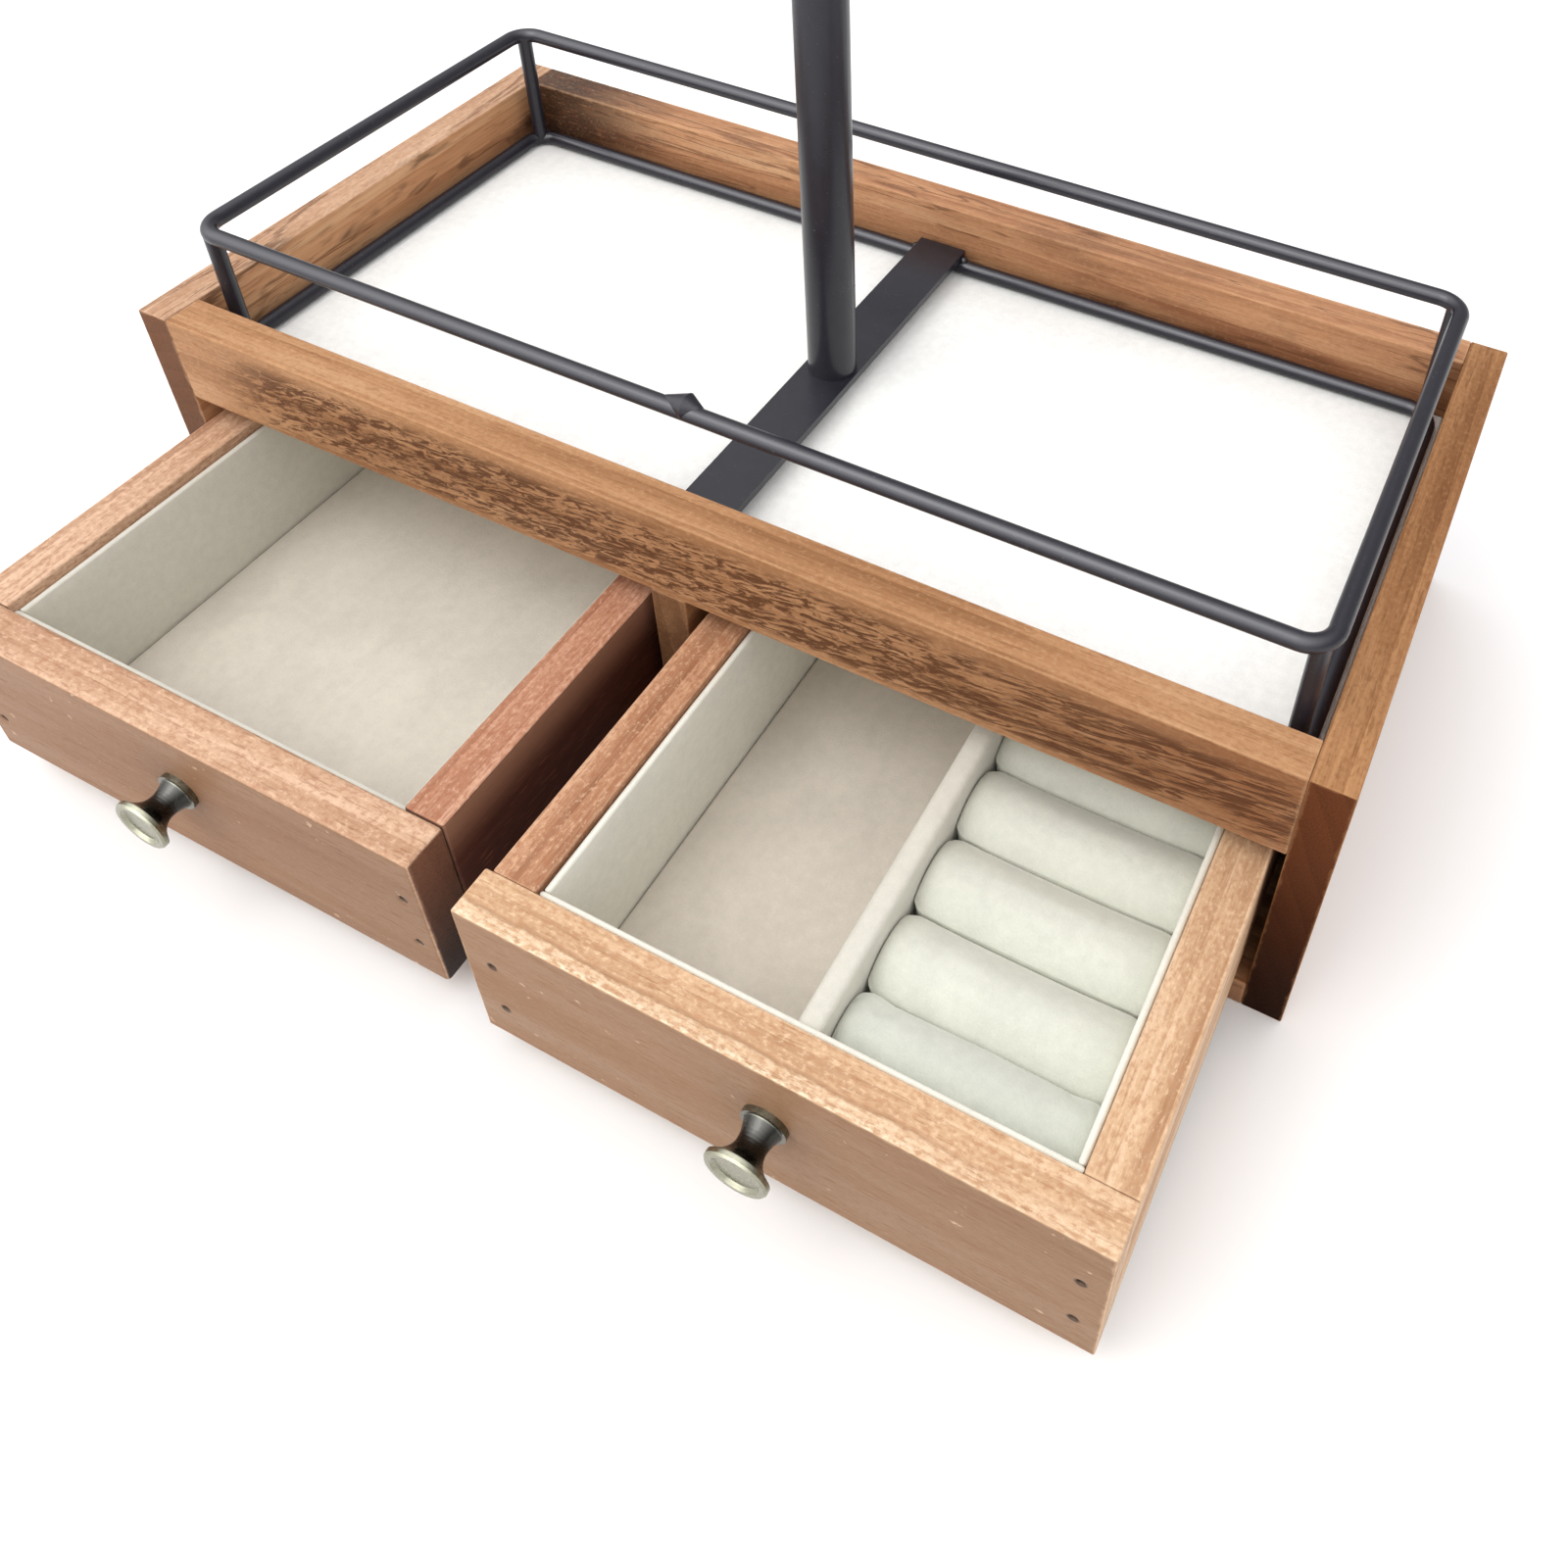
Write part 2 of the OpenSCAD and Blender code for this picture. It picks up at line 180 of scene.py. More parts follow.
# Dark, middle and light tone of each stain
TAN = ((0.28, 0.130, 0.068), (0.47, 0.280, 0.170), (0.66, 0.440, 0.300))
AMBER = ((0.15, 0.062, 0.026), (0.27, 0.125, 0.054), (0.45, 0.235, 0.110))
HONEY = ((0.36, 0.190, 0.095), (0.56, 0.355, 0.205), (0.72, 0.510, 0.335))
RED = ((0.26, 0.100, 0.055), (0.46, 0.230, 0.140), (0.62, 0.370, 0.255))
RUSSET = ((0.22, 0.090, 0.040), (0.44, 0.225, 0.122), (0.60, 0.370, 0.230))
# A dark red wood, darkened further as painted shade of the narrow gap between the drawers
MAROON_AND_GAP_SHADE = ((0.040, 0.012, 0.008), (0.075, 0.023, 0.014), (0.130, 0.045, 0.028))
COPPER = ((0.26, 0.100, 0.042), (0.48, 0.235, 0.112), (0.62, 0.370, 0.200))
BROWN = ((0.24, 0.110, 0.046), (0.41, 0.210, 0.100), (0.54, 0.315, 0.168))
PALE = ((0.50, 0.350, 0.200), (0.62, 0.460, 0.290), (0.72, 0.570, 0.390))

# Tones of single features
GOUGE_TONE = (0.080, 0.026, 0.009)
RAIL_END_TONE = (0.130, 0.032, 0.006)
# Flat tone of the drawer fronts, partly darkened as painted shade
FRONT_TONE_AND_SHADE = (0.196, 0.095, 0.043)
RUST_TONE = (0.030, 0.014, 0.008)
CHALK_TONE = (0.90, 0.70, 0.50)

RING_GAP = 5.5 * MM
GRAIN_RELIEF = 0.16 * MM
BRAD_RADIUS = 0.8 * MM


def scaled(tone, factor):
    """A tone made lighter or darker, with no part of it above 1."""
    return tuple(min(1, factor * part) for part in tone)


class Board(Graph):
    """Oiled wood for one board. Each method lays a feature over the colour and the relief so far."""

    def __init__(self, node, grain, stain, seed):
        super().__init__("wood_" + node)
        self.low, self.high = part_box(node)
        self.grain = grain
        self.dark, self.middle, self.light = stain
        self.x, self.y, self.z = self.split(self.point)[:3]
        _, self.normal_y, self.normal_z = self.split(self.normal)[:3]
        self.upward = self.ramp(self.normal_z, 0.5, 0.9)
        self.log = self.place_in_log(seed)
        self.broad = self.streaks(75, 0.09, 4, 0.58, 0.5)
        self.fibres = self.streaks(1700, 0.03, 2, 0.6)
        self.grains = self.streaks(1100, 0.65, 3, 0.66, shift=0.4)
        self.rings = self.growth_rings()

    def place_in_log(self, seed):
        """The point with the grain turned to X, moved into a part of the log of its own."""
        x, y, z = self.x, self.y, self.z
        turned = {"X": (x, y, z), "Y": (y, x, z), "Z": (z, x, y)}[self.grain]
        offset = (0.37 * seed, 0.11 * seed, 0.06 + 0.05 * math.sin(seed))
        return self.place(self.combine(*turned), (1, 1, 1), offset)

    def streaks(self, scale, stretch, detail=2.0, roughness=0.5, distortion=0.0, shift=0.0, log=None):
        """Noise drawn out along the grain: the smaller stretch is, the longer are the streaks."""
        point = self.place(self.log if log is None else log, (stretch, 1, 1), (shift, 0, 0))
        return self.noise(point, scale, detail, roughness, distortion)

    def growth_rings(self):
        """Rings RING_GAP apart. At a scale of 1 the texture draws 20 / tau of them per metre."""
        inputs = {
            "Vector": self.place(self.log, (0.12, 1, 1)),
            "Scale": math.tau / (20 * RING_GAP),
            "Distortion": 5.0,
            "Detail": 3.0,
            "Detail Scale": 0.35,
            "Detail Roughness": 0.55,
        }
        wave = self.add(
            "ShaderNodeTexWave", inputs, wave_type="RINGS", rings_direction="X", wave_profile="SAW"
        )
        return wave.outputs["Fac"]

    def paint(self, factor, tone):
        self.colour = self.mix(factor, self.colour, tone)

    def raise_by(self, field, amount):
        self.height = self.math("MULTIPLY_ADD", field, amount, self.height)

    def figure(self, contrast, top):
        """Slow changes, growth rings and fibres as one figure. top is another stain for the upper face."""
        figure = self.vary(0.52, self.broad, 1.5 * contrast)
        figure = self.vary(figure, self.rings, -0.24 * contrast)
        figure = self.vary(figure, self.fibres, 0.50 * contrast)
        stops = (0.12, 0.50, 0.88)
        self.colour = self.tones(figure, list(zip(stops, (self.dark, self.middle, self.light))))
        if top:
            self.dark, self.middle, self.light = top
            self.paint(self.upward, self.tones(figure, list(zip(stops, top))))

    def veins(self, strength):
        """Thin dark growth lines."""
        drift = self.streaks(170, 0.07, 3, 0.6, 0.8, shift=0.6)
        lines = self.ramp(self.apart(drift, 0.56), 0.035, 0.005)
        self.paint(self.times(lines, strength), scaled(self.dark, 0.55))

    def scorch(self, strength):
        """Nearly black patches."""
        patches = self.streaks(62, 0.28, 4, 0.66, 0.6, shift=0.5)
        self.paint(self.times(self.ramp(patches, 0.53, 0.66), strength), scaled(self.dark, 0.22))

    def painted_corner_shade(self, width):
        """Painted shade of the corner, reaching in from the board's left end."""
        inwards = self.math("DIVIDE", self.math("SUBTRACT", self.x, self.low.x), width)
        inwards = self.vary(inwards, self.streaks(80, 0.3, 4, 0.6), 0.5)
        self.paint(self.ramp(inwards, 1.0, 0.25, 0.0, 0.95), scaled(self.dark, 0.11))

    def painted_sheen_rim(self, width):
        """A painted sheen: a paler band on the sides that reaches down from the top edge."""
        below = self.math("SUBTRACT", self.high.z, self.z)
        band = self.times(self.ramp(below, width, 0.0), self.ramp(self.normal_z, 0.5, 0.3))
        self.paint(band, scaled(self.middle, 0.6))

    def pores(self, flecks):
        """Dark pores, and red and pale flecks where the stain has taken unevenly."""
        self.pore_marks = self.ramp(self.streaks(1500, 0.10, 1.5, 0.5, shift=0.2), 0.60, 0.70)
        self.paint(self.times(self.pore_marks, 0.42), self.dark)
        speckle = self.ramp(self.grains, 0.50, 0.64)
        red, green, blue = self.middle
        self.paint(self.times(flecks, 0.6, speckle), (0.72 * red, 0.52 * green, 0.42 * blue))
        self.paint(self.times(flecks, 0.5, self.ramp(self.grains, 0.46, 0.34)), scaled(self.light, 1.12))
        self.height = self.math("MULTIPLY_ADD", self.pore_marks, -0.7, self.times(self.fibres, 0.5))
        self.raise_by(speckle, -0.2)

    def calm_front(self, strength):
        """A front with hardly any figure and a few pale nicks. Its flat tone is partly the wood's own,
        partly painted shade of a face turned from the light overhead, and gets darker towards the right
        end.
        """
        front = self.ramp(self.normal_y, -0.7, -0.95)
        cloudy = self.streaks(45, 0.25, 3, 0.55, shift=0.9)
        flat = self.mix(cloudy, scaled(FRONT_TONE_AND_SHADE, 0.84), scaled(FRONT_TONE_AND_SHADE, 1.13))
        flat = self.shade(flat, self.ramp(self.x, self.low.x, self.high.x, 1.04, 0.93))
        self.paint(self.times(front, strength), flat)
        nicks = self.ramp(self.noise(self.place(self.point, (0.7, 1, 1)), 330, 3, 0.6), 0.69, 0.74)
        self.paint(self.times(front, nicks, 0.5), self.light)

    def gouged_front(self):
        """The rail's front: redder to the right and gouged, but not at its left end or long edges."""
        front = self.ramp(self.normal_y, -0.5, -0.9)
        self.paint(self.times(front, self.ramp(self.x, 40 * MM, self.high.x, 0.0, 0.55)), RAIL_END_TONE)
        turn = {"Vector": self.log, "Rotation": (0, math.radians(7), 0)}
        slanted = self.add("ShaderNodeMapping", turn).outputs[0]
        wavy = self.streaks(660, 0.24, 3.5, 0.68, 1.3, log=slanted)
        straight = self.streaks(780, 0.11, 3.5, 0.68, 1.1, shift=0.3, log=slanted)
        to_right = self.ramp(self.x, 50 * MM, 90 * MM)
        streaks = self.math("MULTIPLY_ADD", to_right, self.math("SUBTRACT", straight, wavy), wavy)
        streaks = self.vary(streaks, self.streaks(110, 0.3, 2, shift=0.7), 0.16)
        gouges = self.times(
            front,
            self.ramp(streaks, 0.44, 0.56),
            self.ramp(self.x, self.low.x + 8 * MM, self.low.x + 34 * MM),
            self.ramp(self.z, self.low.z + 0.5 * MM, self.low.z + 3.5 * MM),
            self.ramp(self.z, self.high.z - 6.0 * MM, self.high.z - 1.5 * MM, 1.0, 0.0),
        )
        self.paint(self.times(gouges, 0.88), GOUGE_TONE)
        self.raise_by(gouges, -3.6)

    def sanded_lip(self, width):
        """A chalky band along the front of the upper face, with a dark line behind it."""
        right = self.high.x
        depth = self.vary(self.y, self.noise(self.point, 110, 4, 0.6), 2.4 * MM)
        depth = self.math("SUBTRACT", depth, self.low.y)
        fading = self.times(self.upward, self.ramp(self.x, right - 12 * MM, right - 50 * MM, 0.35, 1.0))
        band = self.times(fading, self.ramp(depth, width, width - 0.6 * MM))
        crumbs = self.ramp(self.noise(self.place(self.point, (0.5, 1, 1)), 1000, 3, 0.6), 0.42, 0.60)
        chalk = self.times(band, crumbs)
        self.paint(self.times(chalk, self.ramp(depth, 1.5 * MM, 0.2 * MM, 0.35, 0.85)), CHALK_TONE)
        line = self.times(fading, self.ramp(self.apart(depth, width), 0.8 * MM, 0.1 * MM))
        self.paint(self.times(line, 0.7), self.dark)
        self.raise_by(line, -1.6)
        self.raise_by(chalk, 0.8)

    def end_grain(self, end, foot):
        """The cut ends. end is a tone of their own or a share of the colour; foot darkens them below."""
        along = self.math("ABSOLUTE", self.vector("DOT_PRODUCT", self.normal, AXES[self.grain]))
        tubes = self.ramp(self.noise(self.log, 2400, 1), 0.42, 0.62)
        if isinstance(end, tuple):
            ends = self.mix(self.times(tubes, 0.5), end, scaled(end, 0.55))
            ends = self.mix(self.times(self.rings, 0.25), ends, scaled(end, 1.5))
            ends = self.shade(ends, self.ramp(self.z, self.low.z, self.high.z, foot, 1.0))
        else:
            ends = self.mix(1.0, self.colour, (end, end, end), "MULTIPLY")
            ends = self.mix(self.times(tubes, 0.35), ends, scaled(self.middle, 0.5 * end))
        self.paint(self.ramp(along, 0.6, 0.92), ends)

    def edge_distance(self):
        """Distance from the board's nearest edge: the second smallest distance from its faces."""
        gaps = []
        for value, low, high in zip((self.x, self.y, self.z), self.low, self.high):
            gaps.append(self.math("SUBTRACT", (high - low) / 2, self.apart(value, (low + high) / 2)))
        a, b, c = gaps
        inner = self.math("MINIMUM", self.math("MAXIMUM", a, b), c)
        return self.math("MAXIMUM", self.math("MINIMUM", a, b), inner)

    def lighten_worn_and_highlit_edges(self, strength):
        """Edges lighter in irregular chips: partly worn wood, partly a painted highlight along the rounded
        edges.
        """
        chips = self.vary(0.25 * MM, self.noise(self.point, 260, 4, 0.6), 2.0 * MM, middle=0.42)
        gap = self.math("SUBTRACT", self.edge_distance(), chips)
        self.worn_and_highlit_marks = self.ramp(gap, 0.30 * MM, -0.30 * MM)
        # Partly worn wood, partly a painted edge highlight
        brightened = self.mix(0.45, self.colour, scaled(self.light, 1.15))
        self.paint(self.times(self.worn_and_highlit_marks, strength), brightened)

    def rust(self, brads):
        """A dark stain round each of the four brads in a drawer's front."""
        low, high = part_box(brads)
        squares = 0.0
        for value, least, most in ((self.x, low.x, high.x), (self.z, low.z, high.z)):
            reach = (most - least) / 2 - BRAD_RADIUS
            off = self.math("SUBTRACT", self.apart(value, (least + most) / 2), reach)
            squares = self.math("MULTIPLY_ADD", off, off, squares)
        stain = self.ramp(self.math("SQRT", squares), 1.5 * MM, 0.9 * MM)
        self.paint(self.times(stain, 0.92), RUST_TONE)

    def close(self, gloss):
        roughness = self.ramp(self.broad, 0.3, 0.7, 0.60, 0.48)
        roughness = self.math("MULTIPLY_ADD", self.pore_marks, 0.12, roughness)
        roughness = self.math("MULTIPLY_ADD", self.worn_and_highlit_marks, 0.1, roughness)
        return self.finish(
            Base_Color=self.colour,
            Roughness=roughness,
            Normal=self.bump(self.height, GRAIN_RELIEF, 0.55),
            Specular_IOR_Level=gloss,
        )


def wood(node, grain, stain, seed, contrast=1.0, top=None, flecks=0.5, end=0.45, foot=1.0, gloss=0.3,
         edge_wear_and_highlight=0.55, veins=0.0, scorched=0.0, painted_corner_shade=0.0, painted_sheen_rim=0.0, calm_front=0.0,
         gouged=False, lip=0.0, brads=None):
    """The material of one board. Board's methods say what the features are."""
    board = Board(node, grain, stain, seed)
    board.figure(contrast, top)
    if veins:
        board.veins(veins)
    if scorched:
        board.scorch(scorched)
    if painted_corner_shade:
        board.painted_corner_shade(painted_corner_shade)
    if painted_sheen_rim:
        board.painted_sheen_rim(painted_sheen_rim)
    board.pores(board.times(board.upward, flecks) if top else flecks)
    if calm_front:
        board.calm_front(calm_front)
    if gouged:
        board.gouged_front()
    if lip:
        board.sanded_lip(lip)
    board.end_grain(end, foot)
    board.lighten_worn_and_highlit_edges(edge_wear_and_highlight)
    if brads:
        board.rust(brads)
    return board.close(gloss)


# ---------------------------------------------------------------- velvet and metals


PILE_RELIEF = 0.16 * MM
COAT_RELIEF = 0.05 * MM
METAL_RELIEF = 0.02 * MM
# Radians of the lathe's tool marks per metre of radius: a mark every 0.45 mm
TOOL_MARKS = 14000


def velvet(name, base, seed, patchy):
    """Short pile: brushed patches, single fibre ends and a soft sheen at grazing angles."""
    g = Graph(name)
    point = g.place(g.point, (1, 1, 1), (seed, 0.7 * seed, 0.3 * seed))
    brushed = g.noise(g.place(point, (1, 0.6, 1)), 55, 4, 0.6, 0.8)
    nap = g.noise(point, 420, 3, 0.6)
    pile = g.noise(point, 2600, 2, 0.7)
    lightness = g.vary(0.5, brushed, 0.9 * patchy)
    lightness = g.vary(lightness, nap, 0.5)
    lightness = g.vary(lightness, pile, 0.45)
    return g.finish(
        Base_Color=g.mix(g.ramp(lightness, 0.1, 0.9), scaled(base, 0.86), scaled(base, 1.07)),
        Roughness=g.ramp(nap, 0.3, 0.7, 0.86, 0.98),
        Normal=g.bump(g.math("MULTIPLY_ADD", nap, 0.6, pile), PILE_RELIEF, 0.5),
        Sheen_Weight=0.35,
        Sheen_Roughness=0.45,
        Specular_IOR_Level=0.12,
    )


def powder_coat():
    """Satin charcoal coating: fine orange peel, a few lighter rubs and specks."""
    g = Graph("rack_powder_coat")
    peel = g.noise(g.point, 1500, 2, 0.5)
    waves = g.noise(g.point, 260, 2, 0.5)
    rubs = g.ramp(g.noise(g.point, 90, 5, 0.68, 0.6), 0.60, 0.74)
    specks = g.ramp(g.noise(g.point, 1900, 1), 0.72, 0.78)
    colour = g.mix(waves, (0.0120, 0.0115, 0.0165), (0.0190, 0.0180, 0.0255))
    colour = g.mix(g.times(rubs, 0.35), colour, (0.05, 0.048, 0.055))
    colour = g.mix(g.times(specks, 0.5), colour, (0.12, 0.12, 0.13))
    height = g.math("MULTIPLY_ADD", waves, 0.5, peel)
    return g.finish(
        Base_Color=colour,
        Roughness=g.ramp(rubs, 0, 1, 0.28, 0.22),
        Normal=g.bump(height, COAT_RELIEF, 0.3),
        Specular_IOR_Level=0.38,
    )


def knob_with_painted_reflections(name, node):
    """Turned knob of dark metal with blotches. Its dark waist and its lighter rim, flange and dished face
    are painted reflections, and the rim's light is also a painted highlight.
    """
    low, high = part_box(node)
    middle = (low + high) / 2
    length = high.y - low.y
    g = Graph(name)
    x, y, z = g.split(g.point)[:3]
    off_x = g.math("SUBTRACT", x, middle.x)
    off_z = g.math("SUBTRACT", z, middle.z)
    radius = g.math("SQRT", g.math("ADD", g.times(off_x, off_x), g.times(off_z, off_z)))
    depth = g.math("SUBTRACT", y, low.y)
    blotches = g.noise(g.point, 700, 4, 0.65, 0.4)
    face = g.ramp(depth, 1.6 * MM, 0.9 * MM)
    flange = g.ramp(depth, length - 1.5 * MM, length - 1.0 * MM)
    rim_radius = (high.x - low.x) / 2 - 0.8 * MM
    rim = g.ramp(g.apart(radius, rim_radius), 0.9 * MM, 0.3 * MM)
    # Painted reflections lighten the face, the flange and the rim; elsewhere the dark tone stands for
    # painted dark reflections
    brightened = g.math("MAXIMUM", face, g.times(flange, 0.55))
    brightened = g.math("MAXIMUM", brightened, g.times(rim, 0.5))
    brightened = g.times(brightened, g.ramp(blotches, 0.25, 0.55, 0.75, 1.0))
    colour = g.mix(brightened, (0.040, 0.039, 0.036), (0.29, 0.285, 0.215))
    colour = g.mix(g.times(g.ramp(blotches, 0.55, 0.75), 0.35), colour, (0.10, 0.095, 0.07))
    turning = g.math("SINE", g.times(radius, TOOL_MARKS))
    return g.finish(
        Base_Color=colour,
        Metallic=1.0,
        Roughness=g.ramp(blotches, 0.3, 0.7, 0.20, 0.34),
        Normal=g.bump(g.math("MULTIPLY_ADD", turning, 0.2, blotches), METAL_RELIEF, 0.3),
    )


def plain_steel(name, tone, roughness, metallic=1.0):
    """Bare or rusted steel of brads and screws, with fine scratches."""
    g = Graph(name)
    blotches = g.noise(g.point, 900, 3, 0.6)
    scratches = g.noise(g.place(g.point, (1, 0.1, 1)), 3000, 1)
    return g.finish(
        Base_Color=g.mix(blotches, scaled(tone, 0.7), scaled(tone, 1.2)),
        Metallic=metallic,
        Roughness=g.ramp(scratches, 0.3, 0.7, roughness - 0.08, roughness + 0.1),
        Normal=g.bump(scratches, METAL_RELIEF, 0.3),
    )


def dress(node, material):
    """Gives a CAD node a material in all of its slots."""
    for slot in nodes[node].material_slots:
        slot.material = material


def soften(node, width):
    """Rounds a board's sharp edges. The CAD faces are joined and their flat triangles merged first."""
    modifiers = nodes[node].modifiers
    joined = modifiers.new("joined_faces", "WELD")
    joined.merge_threshold = 0.001 * MM
    merged = modifiers.new("merged_flats", "DECIMATE")
    merged.decimate_type = "DISSOLVE"
    merged.angle_limit = math.radians(1)
    bevel = modifiers.new("softened_edges", "BEVEL")
    bevel.width = width
    bevel.segments = 3
    bevel.limit_method = "ANGLE"
    bevel.angle_limit = math.radians(40)
    bevel.use_clamp_overlap = False
    bevel.loop_slide = False
    bevel.harden_normals = True


# Every wooden board: the way its grain runs, its stain and what is special about it
BOARDS = {
    "side_board_left": dict(
        grain="Y", stain=COPPER, seed=1, top=TAN, end=(0.13, 0.048, 0.016), foot=0.7, gloss=0.12,
        veins=0.7, scorched=0.8,
    ),
    "side_board_right": dict(
        grain="Y", stain=AMBER, seed=2, end=(0.108, 0.034, 0.013), foot=0.15, gloss=0.02, edge_wear_and_highlight=0.35,
    ),
    "front_rail": dict(grain="X", stain=BROWN, seed=3, gloss=0.12, gouged=True),
    "back_board": dict(
        grain="X", stain=COPPER, seed=4, flecks=0.3, veins=0.7, scorched=0.3, painted_corner_shade=55 * MM,
    ),
    "bottom_board": dict(grain="X", stain=AMBER, seed=5, flecks=0.2),
    "centre_divider": dict(grain="Y", stain=AMBER, seed=6, end=0.7),
    "tray_board": dict(grain="X", stain=PALE, seed=7, contrast=0.5, flecks=0.2),
    "left_drawer_front": dict(
        grain="X", stain=TAN, seed=8, flecks=0.9, end=(0.17, 0.072, 0.040), foot=0.12, edge_wear_and_highlight=0.4,
        calm_front=0.85, brads="left_drawer_brads",
    ),
    "left_drawer_left_side": dict(grain="Y", stain=TAN, seed=9, flecks=0.9),
    # Its sides: dark red wood plus painted gap shade, with a painted sheen under the top edge
    "left_drawer_right_side": dict(
        grain="Y", stain=MAROON_AND_GAP_SHADE, seed=10, top=RED, flecks=0.9, gloss=0.15, edge_wear_and_highlight=0.1, painted_sheen_rim=14 * MM,
    ),
    "left_drawer_back": dict(grain="X", stain=TAN, seed=11),
    "left_drawer_bottom": dict(grain="X", stain=PALE, seed=12, contrast=0.5, flecks=0.2),
    "right_drawer_front": dict(
        grain="X", stain=HONEY, seed=13, flecks=0.9, end=0.95, calm_front=0.85, lip=3.4 * MM,
        brads="right_drawer_brads",
    ),
    "right_drawer_left_side": dict(grain="Y", stain=RUSSET, seed=14, contrast=1.2, flecks=1.0),
    "right_drawer_right_side": dict(grain="Y", stain=HONEY, seed=15, contrast=1.1, flecks=0.8),
    "right_drawer_back": dict(grain="X", stain=TAN, seed=16),
    "right_drawer_bottom": dict(grain="X", stain=PALE, seed=17, contrast=0.5, flecks=0.2),
}
EDGE = 0.4 * MM
SOFTER_EDGES = {
    "left_drawer_front": 1.0 * MM,
    "left_drawer_right_side": 0.8 * MM,
    "left_drawer_left_side": 0.6 * MM,
}
RACK = (
    "rack_upper_rail",
    "rack_lower_rail",
    "rack_post_front_left",
    "rack_post_front_right",
    "rack_post_back_left",
    "rack_post_back_right",
    "rack_joint_bead",
    "rack_cross_strap",
    "strap_weld_beads",
    "post_tube",
    "post_top_cap",
    "necklace_arm_lower",
    "necklace_arm_upper",
    "arm_end_balls",
)


def finish_cad_nodes():
    for node, look in BOARDS.items():
        dress(node, wood(node, **look))
        soften(node, SOFTER_EDGES.get(node, EDGE))
    coat = powder_coat()
    for node in RACK:
        dress(node, coat)
    brad = plain_steel("rusted_brad_steel", (0.012, 0.008, 0.006), 0.7, metallic=0.0)
    zinc = plain_steel("zinc_plated_steel", (0.55, 0.55, 0.56), 0.35)
    for node in ("case_brads", "left_drawer_brads", "right_drawer_brads"):
        dress(node, brad)
    for node in ("post_foot_plug", "post_screw", "left_drawer_knob_screw", "right_drawer_knob_screw"):
        dress(node, zinc)
    for side in ("left", "right"):
        knob = side + "_drawer_knob"
        dress(knob, knob_with_painted_reflections("pewter_with_painted_reflections_" + side, knob))


# ---------------------------------------------------------------- velvet pieces


def wobble(point, scale, seed):
    """Smooth noise from -1 to 1 at a point given in metres."""
    return noise.noise(Vector(point) / scale + Vector((seed, 2.3 * seed, 5.1 * seed)))


ROUNDING_STEPS = (0, 0.08, 0.29, 0.62)


def graded_line(length, radius, cell):
    """Places from 0 to length, close together within radius of both ends."""
    edge = [radius * part for part in ROUNDING_STEPS]
    count = max(1, round((length - 2 * radius) / cell))
    middle = [radius + (length - 2 * radius) * i / count for i in range(count + 1)]
    return edge + middle + [length - place for place in reversed(edge)]


def rounding(gap, radius):
    """How far a rounded edge has dropped at a gap from the border."""
    if gap >= radius:
        return 0.0
    return radius - math.sqrt(max(0.0, radius**2 - (radius - gap) ** 2))


SWELL_GROWTH = 2.5


def add_panel(bm, origin, along, across, out, size, radius, cell, swell, back_radius=None):
    """A closed covered panel. Its face lies at size[2] along out and swell(point) lifts it.

    The swell grows from nothing at the border to its full height SWELL_GROWTH radii inside.
    """
    back_radius = radius if back_radius is None else back_radius
    origin, along, across, out = (Vector(v) for v in (origin, along, across, out))
    us = graded_line(size[0], max(radius, back_radius), cell)
    vs = graded_line(size[1], max(radius, back_radius), cell)

    def skin(is_face):
        edge = radius if is_face else back_radius
        rows = []
        for v in vs:
            row = []
            for u in us:
                gap = min(u, v, size[0] - u, size[1] - v)
                point = origin + along * u + across * v
                if is_face:
                    part = min(1.0, gap / (SWELL_GROWTH * radius))
                    level = size[2] - rounding(gap, edge) + part * swell(point)
                else:
                    level = rounding(gap, edge)
                row.append(bm.verts.new(point + out * level))
            rows.append(row)
        return rows

    face, back = skin(True), skin(False)
    last_u, last_v = len(us) - 1, len(vs) - 1
    for j in range(last_v):
        for i in range(last_u):
            bm.faces.new((face[j][i], face[j][i + 1], face[j + 1][i + 1], face[j + 1][i]))
            bm.faces.new((back[j][i], back[j + 1][i], back[j + 1][i + 1], back[j][i + 1]))
    border = [(0, i) for i in range(last_u)] + [(j, last_u) for j in range(last_v)]
    border += [(last_v, i) for i in range(last_u, 0, -1)] + [(j, 0) for j in range(last_v, 0, -1)]
    for (j, i), (next_j, next_i) in zip(border, border[1:] + border[:1]):
        bm.faces.new((face[j][i], back[j][i], back[next_j][next_i], face[next_j][next_i]))


def piece_from(bm, name, body, material, slot, *stands_for):
    """Turns a bmesh into a smooth piece that rides on a body and stands for CAD nodes."""
    bmesh.ops.recalc_face_normals(bm, faces=bm.faces)
    mesh = bpy.data.meshes.new(name)
    bm.to_mesh(mesh)
    bm.free()
    mesh.shade_smooth()
    mesh.materials.append(material)
    piece = bpy.data.objects.new(name, mesh)
    bpy.context.scene.collection.objects.link(piece)
    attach(piece, body)
    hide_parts(*stands_for)
    return piece


def loop_gap(point, half_x, half_y):
    """Distance of a point from a rectangle's outline centred on the origin."""
    dx, dy = abs(point.x) - half_x, abs(point.y) - half_y
    if dx > 0 and dy > 0:
        return math.hypot(dx, dy)
    if dx > 0 or dy > 0:
        return max(dx, dy)
    return min(-dx, -dy)


PRESS_REACH = 3.2 * MM
PRESS_DEPTH = 0.42 * MM


